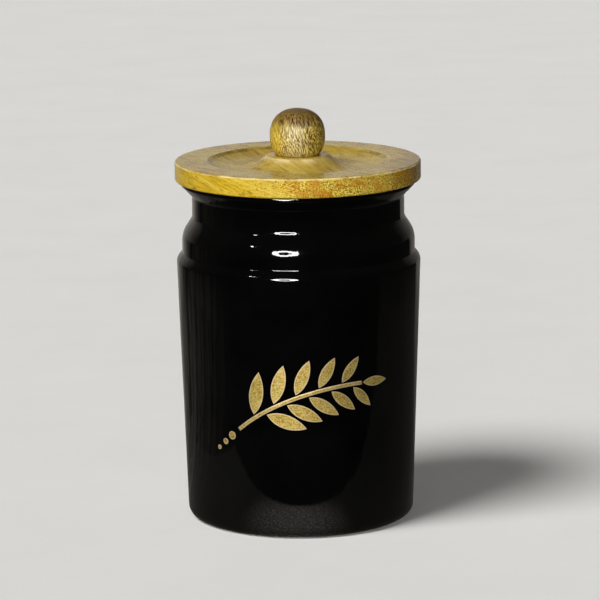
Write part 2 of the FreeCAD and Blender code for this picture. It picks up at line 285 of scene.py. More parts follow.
class Paint:
    """The nodes of a material or a world, with short calls to add and join them."""

    def __init__(self, owner):
        self.owner = owner
        owner.use_nodes = True
        self.tree = owner.node_tree
        self.tree.nodes.clear()

    def feed(self, socket, value):
        """Join an output to a socket, or set the socket's own value."""
        if isinstance(value, bpy.types.NodeSocket):
            self.tree.links.new(value, socket)
        else:
            socket.default_value = value

    def node(self, kind, inputs=None, **settings):
        made = self.tree.nodes.new(kind)
        for key, value in settings.items():
            setattr(made, key, value)
        for key, value in (inputs or {}).items():
            self.feed(made.inputs[key], value)
        return made

    def mapped(self, vector, **inputs):
        return self.node("ShaderNodeMapping", {"Vector": vector, **inputs}).outputs["Vector"]

    def place(self, turn=(0, 0, 0), shift=(0, 0, 0)):
        """The piece's own coordinates in metres, turned and then shifted."""
        coordinates = self.node("ShaderNodeTexCoord").outputs["Object"]
        return self.mapped(coordinates, Rotation=turn, Location=shift)

    def barrel(self, turn, shift, middle, radius, ease=1.15):
        """The piece's own coordinates, spread near the poles so that upright lines follow a ball's form."""
        place = self.place()
        share = self.calc("DIVIDE", self.minus(self.parts(place)["Z"], middle), radius)
        across = self.minus(ease, self.calc("POWER", share, 2.0))
        spread = self.calc("INVERSE_SQRT", across)
        scale = self.node("ShaderNodeCombineXYZ", {"X": spread, "Y": spread, "Z": 1.0}).outputs["Vector"]
        return self.mapped(self.vector("MULTIPLY", place, scale), Rotation=turn, Location=shift)

    def vector(self, operation, a, b=(0, 0, 0)):
        return self.node("ShaderNodeVectorMath", {0: a, 1: b}, operation=operation).outputs["Vector"]

    def length(self, vector):
        return self.node("ShaderNodeVectorMath", {0: vector}, operation="LENGTH").outputs["Value"]

    def noise(self, vector, features, detail=3.0, roughness=0.55, distortion=0.0):
        """Noise with so many features a metre, one number for all axes or one for each."""
        scale = features if isinstance(features, tuple) else (features,) * 3
        inputs = {"Vector": self.mapped(vector, Scale=scale), "Scale": 1.0, "Detail": detail}
        inputs |= {"Roughness": roughness, "Distortion": distortion}
        return self.node("ShaderNodeTexNoise", inputs).outputs["Fac"]

    def warp(self, vector, scale, reach):
        """The same coordinates, moved about by a slow noise."""
        inputs = {"Vector": vector, "Scale": scale, "Detail": 1.0}
        drift = self.node("ShaderNodeTexNoise", inputs).outputs["Color"]
        drift = self.vector("SUBTRACT", drift, (0.5, 0.5, 0.5))
        return self.vector("ADD", vector, self.vector("MULTIPLY", drift, (reach, reach, reach)))

    def parts(self, vector):
        return self.node("ShaderNodeSeparateXYZ", {"Vector": vector}).outputs

    def remap(self, value, band=(0.0, 1.0), to=(0.0, 1.0)):
        """Smooth step from one value to another while the input crosses a band."""
        inputs = {"Value": value, "From Min": band[0], "From Max": band[1], "To Min": to[0], "To Max": to[1]}
        return self.node("ShaderNodeMapRange", inputs, interpolation_type="SMOOTHSTEP").outputs["Result"]

    def calc(self, operation, a, b=0.0):
        return self.node("ShaderNodeMath", {0: a, 1: b}, operation=operation).outputs["Value"]

    def minus(self, a, b):
        return self.calc("SUBTRACT", a, b)

    def sum(self, *values):
        total = values[0]
        for value in values[1:]:
            total = self.calc("ADD", total, value)
        return total

    def times(self, *values):
        product = values[0]
        for value in values[1:]:
            product = self.calc("MULTIPLY", product, value)
        return product

    def swing(self, value, *strengths):
        """A value from 0 to 1 as a swing about nothing."""
        return self.times(self.minus(value, 0.5), *strengths)

    def mix(self, factor, a, b, blend="MIX"):
        made = self.node("ShaderNodeMix", data_type="RGBA", blend_type=blend)
        colours = [socket for socket in made.inputs if socket.type == "RGBA"]
        self.feed(made.inputs["Factor"], factor)
        self.feed(colours[0], a)
        self.feed(colours[1], b)
        return next(socket for socket in made.outputs if socket.type == "RGBA")

    def ramp(self, value, stops):
        """Colour by value, from (place, colour) stops."""
        made = self.node("ShaderNodeValToRGB", {"Fac": value})
        elements = made.color_ramp.elements
        while len(elements) < len(stops):
            elements.new(0.5)
        for element, (place, colour) in zip(elements, stops):
            element.position = place
            element.color = colour
        return made.outputs["Color"]

    def bump(self, height, distance, strength=1.0, normal=None):
        inputs = {"Height": height, "Distance": distance, "Strength": strength}
        if normal is not None:
            inputs["Normal"] = normal
        return self.node("ShaderNodeBump", inputs).outputs["Normal"]

    def finish(self, shader, output="ShaderNodeOutputMaterial"):
        self.tree.links.new(shader.outputs[0], self.node(output).inputs["Surface"])
        return self.owner

    def emit(self, strength, colour=(1, 1, 1, 1)):
        """Finish with a glow."""
        return self.finish(self.node("ShaderNodeEmission", {"Color": colour, "Strength": strength}))

    def surface(self, **inputs):
        """Finish with one principled shader. Input names are written with underscores."""
        named = {key.replace("_", " "): value for key, value in inputs.items()}
        return self.finish(self.node("ShaderNodeBsdfPrincipled", named))


def new_paint(name):
    return Paint(bpy.data.materials.new(name))


def srgb(red, green, blue):
    """Linear colour of an sRGB triple from 0 to 255."""

    def linear(value):
        share = value / 255
        return share / 12.92 if share <= 0.04045 else ((share + 0.055) / 1.055) ** 2.4

    return (linear(red), linear(green), linear(blue), 1.0)


# Glaze, with features a metre and heights of relief
GLAZE_TONES = [(0.3, srgb(3, 3, 3)), (0.7, srgb(7, 7, 7))]
GLAZE_CLOUDS = 40
GLAZE_SMUDGES = (55, 55, 35)
GLAZE_ROUGHNESS = (0.03, 0.075)
GLAZE_WAVES = (45, 45, 30)
GLAZE_WAVE_HEIGHT = 0.0006
GLAZE_RUNS = (240, 240, 7)
GLAZE_RUN_HEIGHT = 0.0002
CLAY_TONES = [(0.3, srgb(120, 92, 68)), (0.7, srgb(176, 146, 116))]
CLAY_GRAIN = 900
CLAY_GRIT = 2500
CLAY_GRIT_HEIGHT = 0.00015
CLAY_ROUGHNESS = 0.85
CLAY_EDGE = 0.00014  # height over which the glaze thins out above the bare clay
CLAY_RAGS = 180
CLAY_RAG_HEIGHT = 0.0006


def black_glaze():
    """Deep black glaze, a little uneven, with faint runs, that stops at the bare clay of the foot."""
    p = new_paint("black_glaze")
    place = p.place()
    rags = p.times(p.noise(place, CLAY_RAGS), CLAY_RAG_HEIGHT)
    clay = p.remap(p.minus(p.parts(place)["Z"], rags), band=(CLAY_EDGE, 0.0))
    glaze = p.ramp(p.noise(place, GLAZE_CLOUDS, detail=4), GLAZE_TONES)
    base = p.mix(clay, glaze, p.ramp(p.noise(place, CLAY_GRAIN, detail=5), CLAY_TONES))
    smudge = p.noise(place, GLAZE_SMUDGES, detail=5, roughness=0.6)
    smudge = p.remap(smudge, band=(0.35, 0.75), to=GLAZE_ROUGHNESS)
    rough = p.calc("MAXIMUM", smudge, p.times(clay, CLAY_ROUGHNESS))
    waves = p.bump(p.noise(place, GLAZE_WAVES, detail=2), GLAZE_WAVE_HEIGHT, strength=0.35)
    runs = p.bump(p.noise(place, GLAZE_RUNS, detail=2), GLAZE_RUN_HEIGHT, strength=0.5, normal=waves)
    grit = p.bump(p.times(p.noise(place, CLAY_GRIT, detail=2), clay), CLAY_GRIT_HEIGHT, normal=runs)
    return p.surface(Base_Color=base, Roughness=rough, Normal=grit, IOR=1.5)


# Wood
WOOD_TONES = [
    (0.0, srgb(62, 38, 6)),
    (0.14, srgb(90, 58, 10)),
    (0.36, srgb(160, 120, 22)),
    (0.52, srgb(196, 161, 36)),
    (0.82, srgb(218, 190, 76)),
    (1.0, srgb(228, 202, 88)),
]
# colour of the painted sheen
SHEEN_COLOUR = srgb(226, 210, 156)
AMBER_COLOUR = srgb(184, 118, 14)
PORE_COLOUR = srgb(104, 66, 9)
VESSEL_COLOUR = srgb(112, 76, 20)
# colour of the painted shade lines in creases
SHADE_LINE_COLOUR = srgb(84, 60, 18)
# colour of the painted highlight on the dish's edge
DISH_EDGE_HIGHLIGHT_COLOUR = srgb(222, 204, 150)
# colour of the painted highlight on top roundings
EDGE_HIGHLIGHT_COLOUR = srgb(232, 214, 160)
WOOD_DRIFT = 45  # slow bends of the fibres a metre, and how far they reach
WOOD_DRIFT_REACH = 0.004
# Features a metre along the fibres and in the two directions across them
PATCHES = (18, 44, 44)
YEAR_LAYERS = (9, 70, 420)
STREAKS = (26, 800, 1200)
FIGURE = (55, 330, 330)
AMBER_CLOUDS = (60, 130, 200)
VESSELS = (110, 1000, 1000)
BREAKS = (60, 160, 160)
PORES_ALONG_SHARE = 0.85  # pores a metre along and across, as shares of the fibres
PORES_ACROSS_SHARE = 0.74
# Weights of the tones, from the ramp's dark end
BASE_TONE = 0.13
PATCH_TONE = 0.7
LAYER_TONE = 0.2
END_GRAIN_TONE = 0.14
STREAK_TONE = 0.6
AMBER_STRENGTH = 0.7
# Parts of a face's direction, where a mask starts and where it is full
END_GRAIN_FACING = (0.35, 0.85)  # along the fibres
EDGE_HIGHLIGHT_FACING = (0.1, 0.3)  # upward
EDGE_HIGHLIGHT_END_FACING = (0.75, 0.9)
SHEEN_FACING = (-0.1, -0.6)  # backward
SHEEN_CORE_SHARE = 1 / 5  # parts of a band's and a ring's reach that are at full strength
RING_CORE_SHARE = 1 / 4
LACQUER_SPREAD = (-0.02, 0.04)  # roughness on dark and on pale fibres, beside the piece's own
WOOD_RELIEF = 0.0002
FIBRE_RELIEF_SHARE = 0.3
PORE_RELIEF_SHARE = 0.7


class TopShade(NamedTuple):
    """Painted shade on faces that look up, which get less light than the sides."""

    facing: tuple  # upward part of a face's direction where the tint starts and where it is full
    strength: float
    fibre_share: float  # share of the strength on the pale fibres
    tint: tuple
    blend: str


class Ring(NamedTuple):
    """Broken line round the axis: some are painted shade in a crease, some painted highlight on an edge."""

    radius: float
    reach: float
    strength: float
    colour: tuple


class FrontSheen(NamedTuple):
    """Painted sheen: a pale upright band on the front."""

    middle: float
    half_width: float
    strength: float


class Wood(NamedTuple):
    """Looks of one wooden piece."""

    name: str
    grain_way: tuple  # direction of the fibres
    cut_place: tuple  # place in the tree that the piece is cut from
    shade_side: tuple  # X where the painted shade on one side starts and where it is full
    shade_side_tone: float
    # painted shade on faces that look up
    wear_and_top_shade: TopShade
    roughness: float = 0.2
    gloss: float = 0.5
    tone: float = 0.0
    fibres: tuple = (110, 2650)  # fibres a metre along and across the grain
    crisp: float = 0.12  # half the step from a dark to a pale fibre
    fleck: tuple = (0.08, 1.1)  # contrast of the pale fibres, on long grain and on end grain
    pores: tuple = (0.1, 0.6)  # strength of the dark pores, on long grain and on end grain
    vessels: float = 0.0  # strength of the dark dashes on long grain
    figure: float = 0.0  # contrast of the figure on faces that look up
    filled: float = 1.0  # share of the open grain that is left on faces that look up
    dull: float = 0.0  # roughness added on faces that look up
    edge_highlight: float = 0.0  # strength of the painted highlight on top roundings
    rings: tuple = ()
    ball: tuple = ()  # middle height and radius of a ball that the fibres follow
    # painted sheen down the front
    front_sheen: FrontSheen = None
    calm: tuple = ()  # X where the fibres are fainter and where they are full
    calm_share: float = 1.0  # contrast of the fainter fibres


class WoodPaint(Paint):
    """Paint for wood under satin lacquer, with the coordinates and masks that its layers share."""

    def __init__(self, look):
        super().__init__(bpy.data.materials.new(look.name))
        self.look = look
        self.own = self.place()
        self.own_x = self.parts(self.own)["X"]
        turn = Vector(look.grain_way).rotation_difference(Vector((1, 0, 0))).to_euler()
        if look.ball:
            self.straight = self.barrel(turn, look.cut_place, *look.ball)
        else:
            self.straight = self.place(turn, look.cut_place)
        self.grain = self.warp(self.straight, WOOD_DRIFT, WOOD_DRIFT_REACH)
        facing = self.node("ShaderNodeTexCoord").outputs["Normal"]
        self.facing = self.parts(facing)
        along = self.calc("ABSOLUTE", self.parts(self.mapped(facing, Rotation=turn))["X"])
        self.end_grain = self.remap(along, band=END_GRAIN_FACING)
        # faces that look up: they carry the painted shade, the figure, the filled grain and the dull lacquer
        self.facing_up = self.remap(self.facing["Z"], band=look.wear_and_top_shade.facing)
        self.open_grain = self.remap(self.facing_up, to=(1.0, look.filled))
        self.fibre, self.pore = self.fibres_and_pores()

    def fibres_and_pores(self):
        """Pale fibres and dark pores, as fine strokes along the grain."""
        look = self.look
        along, across = look.fibres
        pores_along, pores_across = along * PORES_ALONG_SHARE, across * PORES_ACROSS_SHARE
        fibre = self.noise(self.grain, (along, across, across), detail=1, roughness=0.5)
        fibre = self.remap(fibre, band=(0.5 - look.crisp, 0.5 + look.crisp))
        pore = self.noise(self.grain, (pores_along, pores_across, pores_across), detail=1, roughness=0.5)
        pore = self.remap(pore, band=(0.58, 0.66))
        if look.calm:
            lively = self.remap(self.own_x, band=look.calm, to=(look.calm_share, 1.0))
            fibre = self.sum(0.5, self.swing(fibre, lively))
            pore = self.times(pore, lively)
        return fibre, pore

    def tone(self):
        """Light and dark of the wood, from broad patches to fine fibres."""
        look = self.look
        patch = self.noise(self.straight, PATCHES, detail=2, roughness=0.5)
        layer = self.remap(self.noise(self.straight, YEAR_LAYERS, distortion=0.6), band=(0.3, 0.7))
        streak = self.noise(self.grain, STREAKS, roughness=0.6)
        figure = self.noise(self.grain, FIGURE, detail=4, roughness=0.6)
        return self.sum(
            self.times(patch, PATCH_TONE),
            self.times(layer, LAYER_TONE),
            self.times(self.end_grain, END_GRAIN_TONE),
            self.swing(streak, self.open_grain, STREAK_TONE),
            self.swing(self.fibre, self.remap(self.end_grain, to=look.fleck)),
            self.swing(figure, self.facing_up, look.figure),
            # painted shade: darker towards +X, the side away from the key light
            self.remap(self.own_x, band=look.shade_side, to=(0.0, look.shade_side_tone)),
            look.tone + BASE_TONE,
        )

    def front_sheen_mask(self):
        """The painted sheen's pale band on the front, fainter on the dark fibres."""
        middle, half_width, strength = self.look.front_sheen
        sideways = self.calc("ABSOLUTE", self.minus(self.own_x, middle))
        band = self.remap(sideways, band=(half_width * SHEEN_CORE_SHARE, half_width), to=(1.0, 0.0))
        front = self.remap(self.facing["Y"], band=SHEEN_FACING, to=(0.0, strength))
        return self.times(band, front, self.remap(self.fibre, to=(0.25, 1.0)))

    def colour(self):
        """The wood's tones, then its painted sheen, amber and dark parts, and the painted shade on faces
        that look up.
        """
        look = self.look
        base = self.ramp(self.tone(), WOOD_TONES)
        # painted sheen: a pale band down the front
        if look.front_sheen:
            base = self.mix(self.front_sheen_mask(), base, SHEEN_COLOUR)
        amber = self.remap(self.noise(self.straight, AMBER_CLOUDS, roughness=0.65), band=(0.46, 0.62))
        base = self.mix(self.times(amber, self.end_grain, AMBER_STRENGTH), base, AMBER_COLOUR)
        base = self.mix(self.times(self.pore, self.remap(self.end_grain, to=look.pores)), base, PORE_COLOUR)
        vessel = self.remap(self.noise(self.grain, VESSELS, detail=2, roughness=0.5), band=(0.58, 0.68))
        long_grain = self.remap(self.end_grain, band=(0.0, 0.5), to=(look.vessels, 0.0))
        base = self.mix(self.times(vessel, long_grain), base, VESSEL_COLOUR)
        # painted shade on faces that look up, weaker on the pale fibres by fibre_share
        wear_and_top_shade = look.wear_and_top_shade
        by_fibre = self.remap(self.fibre, to=(wear_and_top_shade.strength, wear_and_top_shade.strength * wear_and_top_shade.fibre_share))
        return self.mix(self.times(self.facing_up, by_fibre), base, wear_and_top_shade.tint, wear_and_top_shade.blend)

    def with_painted_lines(self, base):
        """The colour with its painted shade and highlight lines round the axis and its painted highlight on
        top roundings.
        """
        look = self.look
        broken = self.noise(self.straight, BREAKS, roughness=0.6)
        broken = self.remap(broken, band=(0.4, 0.6), to=(0.2, 1.0))
        from_axis = self.length(self.vector("MULTIPLY", self.own, (1, 1, 0)))
        for ring in look.rings:
            away = self.calc("ABSOLUTE", self.minus(from_axis, ring.radius))
            core = ring.reach * RING_CORE_SHARE
            line = self.remap(away, band=(core, ring.reach), to=(ring.strength, 0.0))
            base = self.mix(self.times(line, broken), base, ring.colour)
        # painted highlight on top roundings
        if look.edge_highlight:
            start = self.remap(self.facing["Z"], band=EDGE_HIGHLIGHT_FACING)
            end = self.remap(self.facing["Z"], band=EDGE_HIGHLIGHT_END_FACING, to=(look.edge_highlight, 0.0))
            base = self.mix(self.times(start, end, broken), base, EDGE_HIGHLIGHT_COLOUR)
        return base


def wood(look):
    """Golden open-pored wood under satin lacquer."""
    p = WoodPaint(look)
    base = p.with_painted_lines(p.colour())
    lacquer = p.remap(p.fibre, to=[look.roughness + spread for spread in LACQUER_SPREAD])
    rough = p.sum(lacquer, p.times(p.facing_up, look.dull))
    relief = p.minus(p.times(p.fibre, FIBRE_RELIEF_SHARE), p.times(p.pore, PORE_RELIEF_SHARE))
    normal = p.bump(p.times(relief, p.open_grain), WOOD_RELIEF, strength=0.7)
    return p.surface(Base_Color=base, Roughness=rough, Normal=normal, IOR=1.5, Specular_IOR_Level=look.gloss)


LID_WOOD = Wood(
    name="lid_wood",
    grain_way=(0.7, -0.7, -0.3),
    cut_place=(0.113, 0.021, 0.004),
    # painted shade on the lid's right side
    shade_side=(0.030, 0.049),
    shade_side_tone=-0.35,
    # painted shade on the lid's upward faces, greyed towards tan like a painted reflection of the pale
    # backdrop
    wear_and_top_shade=TopShade(facing=(0.2, 0.7), strength=0.5, fibre_share=1.0, tint=srgb(148, 126, 74), blend="MIX"),
    vessels=0.55,
    figure=1.9,
    filled=0.3,
    dull=0.05,
    # painted highlight along the lid's top edge
    edge_highlight=0.7,
    rings=(
        # painted shade along the inside of the dish's edge
        Ring(radius=DISH_RADIUS - 0.0014, reach=0.0016, strength=0.6, colour=SHADE_LINE_COLOUR),
        # painted highlight along the dish's edge
        Ring(radius=DISH_RADIUS + 0.0002, reach=0.0007, strength=0.5, colour=DISH_EDGE_HIGHLIGHT_COLOUR),
        # painted shade round the knob's foot
        Ring(radius=KNOB_FOOT_RADIUS, reach=0.0011, strength=0.85, colour=SHADE_LINE_COLOUR),
    ),
)
PLUG_WOOD = Wood(
    name="plug_wood",
    grain_way=(-0.87, -0.5, 0),
    cut_place=(0.07, 0.03, 0.01),
    # the lid's painted shade on the right side
    shade_side=LID_WOOD.shade_side,
    shade_side_tone=LID_WOOD.shade_side_tone,
    # the lid's painted shade on faces that look up
    wear_and_top_shade=LID_WOOD.wear_and_top_shade,
    roughness=0.5,
)
KNOB_WOOD = Wood(
    name="knob_wood",
    grain_way=(-0.2, 0.0, 1.0),
    cut_place=(0.05, 0.01, 0.02),
    # painted shade on the knob's right side
    shade_side=(0.002, 0.011),
    shade_side_tone=-0.12,
    # painted shade: the knob's top multiplied dark brown, as it gets little light
    wear_and_top_shade=TopShade(
        facing=(0.2, 0.62),
        strength=1.0,
        fibre_share=0.66,
        tint=(0.22, 0.115, 0.02, 1),
        blend="MULTIPLY",
    ),
    roughness=0.36,
    gloss=0.7,
    tone=-0.06,
    fibres=(370, 4700),
    crisp=0.08,
    fleck=(1.4, 2.2),
    pores=(0.5, 0.6),
    ball=(KNOB_MIDDLE_Z, KNOB_RADIUS),
    # painted sheen down the knob's front, in place of a broad lacquer highlight
    front_sheen=FrontSheen(middle=-0.0005, half_width=0.0075, strength=0.6),
    calm=(-0.009, -0.004),
    calm_share=0.45,
)

# Gold foil
GOLD_TONES = [(0.2, srgb(158, 128, 40)), (0.5, srgb(212, 182, 88)), (0.8, srgb(240, 218, 146))]
GOLD_LINE_COLOUR = srgb(236, 210, 160)
GOLD_SPECKS = 1500
GOLD_CLOUDS = 160
GOLD_SPECK_SHARE = 0.6  # weight of the specks beside the clouds
GOLD_ROUGHNESS = (0.40, 0.55)
GOLD_RELIEF = 0.00005


def gold_foil():
    """Grainy gold foil with a paler line along the outline."""
    p = new_paint("gold_foil")
    place = p.place()
    speck = p.remap(p.noise(place, GOLD_SPECKS, roughness=0.75), band=(0.3, 0.7))
    clouds = p.noise(place, GOLD_CLOUDS)
    tone = p.sum(p.times(speck, GOLD_SPECK_SHARE), p.times(clouds, 1 - GOLD_SPECK_SHARE))
    edge = p.node("ShaderNodeAttribute", attribute_name="outline").outputs["Fac"]
    base = p.mix(p.remap(edge, band=(0.45, 0.55)), p.ramp(tone, GOLD_TONES), GOLD_LINE_COLOUR)
    rough = p.remap(speck, to=GOLD_ROUGHNESS)
    normal = p.bump(speck, GOLD_RELIEF, strength=0.6)
    return p.surface(Base_Color=base, Metallic=0.7, Roughness=rough, Normal=normal)


# Silicone
SILICONE_TONES = [(0.3, srgb(214, 214, 208)), (0.7, srgb(232, 232, 226))]
SILICONE_BLOOM = 300
SILICONE_ROUGHNESS = (0.42, 0.58)
SILICONE_GRAIN = 4000
SILICONE_RELIEF = 0.00003
SILICONE_GLOW_REACH = 0.002


def silicone():
    """Milky silicone with a faint dust bloom."""
    p = new_paint("silicone")
    place = p.place()
    bloom = p.noise(place, SILICONE_BLOOM, detail=4, roughness=0.6)
    return p.surface(
        Base_Color=p.ramp(bloom, SILICONE_TONES),
        Roughness=p.remap(bloom, band=(0.3, 0.7), to=SILICONE_ROUGHNESS),
        Normal=p.bump(p.noise(place, SILICONE_GRAIN, detail=2), SILICONE_RELIEF, strength=0.5),
        Subsurface_Weight=0.15,
        Subsurface_Scale=SILICONE_GLOW_REACH,
    )


# Zinc plating
ZINC_TONES = [(0.3, srgb(172, 160, 120)), (0.7, srgb(214, 206, 176))]
ZINC_CLOUDS = 500
ZINC_MARKS = (600, 600, 9000)
ZINC_ROUGHNESS = (0.24, 0.42)
ZINC_RELIEF = 0.00003


def screw_steel():
    """Yellowish zinc plating with fine turning marks."""
    p = new_paint("screw_steel")
    place = p.place()
    marks = p.noise(place, ZINC_MARKS, detail=2)
    return p.surface(
        Base_Color=p.ramp(p.noise(place, ZINC_CLOUDS, detail=4), ZINC_TONES),
        Metallic=1.0,
        Roughness=p.remap(marks, band=(0.3, 0.7), to=ZINC_ROUGHNESS),
        Normal=p.bump(marks, ZINC_RELIEF, strength=0.4),
    )


# Pieces


def body_radius_at(z):
    """Outside radius of the jar's tapered body at a height."""
    return BODY_RADIUS - FOOT_TAPER + FOOT_TAPER * z / BODY_HEIGHT


def jar():
    """One glazed shell: foot recess, outside, rim, inside and floor."""
    foot = BODY_RADIUS - FOOT_TAPER
    band = BODY_RADIUS - STEP_IN
    neck = band - SHOULDER_IN
    lip = neck + LIP_OUT
    ring_inner = foot - FOOT_EDGE_ROUND - FOOT_RING_WIDTH
    band_z = BODY_HEIGHT + STEP_HEIGHT
    shoulder_z = band_z + BAND_HEIGHT
    neck_z = shoulder_z + SHOULDER_HEIGHT
    flare_z = neck_z + NECK_HEIGHT
    inside_z = BODY_HEIGHT - WALL
    profile = rounded([
        ((0, FOOT_RECESS), 0),
        ((ring_inner - FOOT_RECESS, FOOT_RECESS), LIP_EDGE_ROUND),
        ((ring_inner, 0), LIP_EDGE_ROUND),
        ((foot, 0), FOOT_EDGE_ROUND),
        ((BODY_RADIUS, BODY_HEIGHT), STEP_ROUND),
        ((band, band_z), STEP_ROOT_ROUND),
        ((band, shoulder_z), SHOULDER_ROUND),
        ((neck, neck_z), NECK_ROOT_ROUND),
        ((neck, flare_z), LIP_ROOT_ROUND),
        ((lip, flare_z + LIP_FLARE_HEIGHT), LIP_EDGE_ROUND),
        ((lip - LIP_LEAN, RIM_Z), LIP_TOP_ROUND),
        ((lip - WALL, RIM_Z), LIP_EDGE_ROUND),
        ((neck - WALL, RIM_Z - LIP_FLARE_HEIGHT), LIP_ROOT_ROUND),
        ((neck - WALL, neck_z), INSIDE_ROUND),
        ((body_radius_at(inside_z) - WALL, inside_z), INSIDE_ROUND),
        ((body_radius_at(BASE_THICKNESS) - WALL, BASE_THICKNESS), FLOOR_ROUND),
        ((0, BASE_THICKNESS), 0),
    ])
    return new_piece("glazed_jar", turned(profile), "jar", black_glaze(), "jar_body")


def lid_board():
    """Dished board with a worn edge round the dish and the boss."""
    top_z = SEAT_Z - BOSS_RISE
    boss = (KNOB_FOOT_RADIUS + BOSS_MARGIN, SEAT_Z)
    dish = (DISH_RADIUS, top_z)
    lowest = (boss[0] + (dish[0] - boss[0]) * DISH_FLOOR_SHARE, top_z - DISH_DEPTH)
    flat_end = (LID_RADIUS - RIM_FLAT_MARGIN, top_z)
    to_boss = arc_points(lowest, boss, DISH_ARC_STEPS)
    to_dish = arc_points(lowest, dish, DISH_ARC_STEPS)
    top = [Vector((SCREW_HOLE_RADIUS, SEAT_Z))] + to_boss[::-1] + to_dish[1:] + [Vector(flat_end)]
    rim = rounded([
        (flat_end, 0),
        ((LID_RADIUS, top_z), LID_TOP_ROUND),
        ((LID_RADIUS, RIM_Z), LID_BOTTOM_ROUND),
        ((SCREW_HOLE_RADIUS, RIM_Z), 0),
    ])
    bm = turned_closed(softened(top, EDGE_SOFTNESS) + rim[1:])
    return new_piece("lid_board_turned", bm, "lid", wood(LID_WOOD), "lid_board")


def lid_knob():
    """Slightly squared ball, with a small round at its foot."""
    low_angle = -math.asin(KNOB_FOOT_SHARE ** (KNOB_POWER / 2))
    points = []
    for k in range(KNOB_STEPS):
        angle = low_angle + (math.pi / 2 - low_angle) * k / KNOB_STEPS
        across = math.cos(angle) ** (2 / KNOB_POWER)
        up = math.copysign(abs(math.sin(angle)) ** (2 / KNOB_POWER), angle)
        points.append(Vector((KNOB_RADIUS * across, KNOB_MIDDLE_Z + KNOB_HALF_HEIGHT * up)))
    foot = rounded([((0, KNOB_LOW.z), 0), (points[0], KNOB_FOOT_ROUND), (points[KNOB_FOOT_STEPS], 0)])
    profile = foot + points[KNOB_FOOT_STEPS + 1 :] + [Vector((0, KNOB_HIGH.z))]
    bm = turned(profile, KNOB_TURN_STEPS)
    return new_piece("ball_knob", bm, "lid", wood(KNOB_WOOD), "lid_knob")


def lid_plug():
    """Plug with its seal groove and countersunk hole, edges eased."""
    ease = LID_BOTTOM_ROUND / 2
    groove = PLUG_HIGH.x - GROOVE_DEPTH
    groove_z = PLUG_LOW.z + GROOVE_LAND
    groove_top = SEAL_HIGH.z + GROOVE_PLAY
    profile = rounded([
        ((SCREW_HOLE_RADIUS, RIM_Z), 0),
        ((PLUG_HIGH.x, RIM_Z), 0),
        ((PLUG_HIGH.x, groove_top), ease),
        ((groove, groove_top), 0),
        ((groove, groove_z), 0),
        ((PLUG_HIGH.x, groove_z), ease),
        ((PLUG_HIGH.x, PLUG_LOW.z + PLUG_CHAMFER), ease),
        ((PLUG_HIGH.x - PLUG_CHAMFER, PLUG_LOW.z), ease),
        ((SCREW_MOUTH_RADIUS, PLUG_LOW.z), 0),
        ((SCREW_HOLE_RADIUS, PLUG_LOW.z + SCREW_MOUTH_RADIUS - SCREW_HOLE_RADIUS), 0),
    ])
    new_piece("lid_plug_turned", turned_closed(profile), "lid", wood(PLUG_WOOD), "lid_plug")


def seal_ring():
    """Silicone band with soft rounded fins."""
    inner = PLUG_HIGH.x - GROOVE_DEPTH + GROOVE_PLAY
    outer = inner + SEAL_BAND
    tip = SEAL_HIGH.x
    height = SEAL_HIGH.z - SEAL_LOW.z
    corners = [((inner, SEAL_LOW.z), FIN_ROUND), ((outer, SEAL_LOW.z), FIN_ROUND)]
    for k in range(FIN_COUNT):
        middle = SEAL_LOW.z + height / FIN_COUNT * (k + 1 / 2)
        corners += [
            ((outer, middle - FIN_ROOT / 2), FIN_ROUND),
            ((tip, middle + FIN_RISE - FIN_TIP / 2), FIN_ROUND),
            ((tip, middle + FIN_RISE + FIN_TIP / 2), FIN_ROUND),
            ((outer, middle + FIN_ROOT / 2), FIN_ROUND),
        ]
    corners += [((outer, SEAL_HIGH.z), FIN_ROUND), ((inner, SEAL_HIGH.z), FIN_ROUND)]
    profile = rounded([corners[-1]] + corners + [corners[0]])[1:-1]
    new_piece("silicone_seal", turned_closed(profile), "seal", silicone(), "seal_ring")


def screw():
    """The CAD screw keeps its shape and gets its plating."""
    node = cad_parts["knob_screw"]
    node.data.materials.clear()
    node.data.materials.append(screw_steel())


# Gold sprig


def foil_point(along, z, lift):
    """Point on the jar's front, from a place measured round it and a height."""
    angle = along / body_radius_at(SPRIG_HEIGHT)
    radius = body_radius_at(z) + lift
    return Vector((radius * math.sin(angle), -radius * math.cos(angle), z))


def foil_patch(bm, layer, rows, columns, spot):
    """Thin closed patch over a grid of so many steps each way.

    For a row and a column, spot gives a flat (along, height) place and its distance from the outline.
    The layer gets 1 on the outline, 0.5 at the border line's inner side and 0 further in.
    """
    sheets = []
    for lift in (0.0, FOIL_THICKNESS):
        sheet = []
        for i in range(rows + 1):
            line = []
            for j in range(columns + 1):
                (along, z), distance = spot(i, j)
                vert = bm.verts.new(foil_point(along, z, lift))
                vert[layer] = max(0.0, 1 - distance / (2 * FOIL_BORDER))
                line.append(vert)
            sheet.append(line)
        sheets.append(sheet)
    low, high = sheets
    for i in range(rows):
        for j in range(columns):
            for s in (low, high):
                bm.faces.new((s[i][j], s[i][j + 1], s[i + 1][j + 1], s[i + 1][j]))
    border = [(i, 0) for i in range(rows + 1)]
    border += [(rows, j) for j in range(1, columns + 1)]
    border += [(i, columns) for i in range(rows - 1, -1, -1)]
    border += [(0, j) for j in range(columns - 1, 0, -1)]
    for (a, b), (c, d) in zip(border, border[1:] + border[:1]):
        bm.faces.new((low[a][b], low[c][d], high[c][d], high[a][b]))


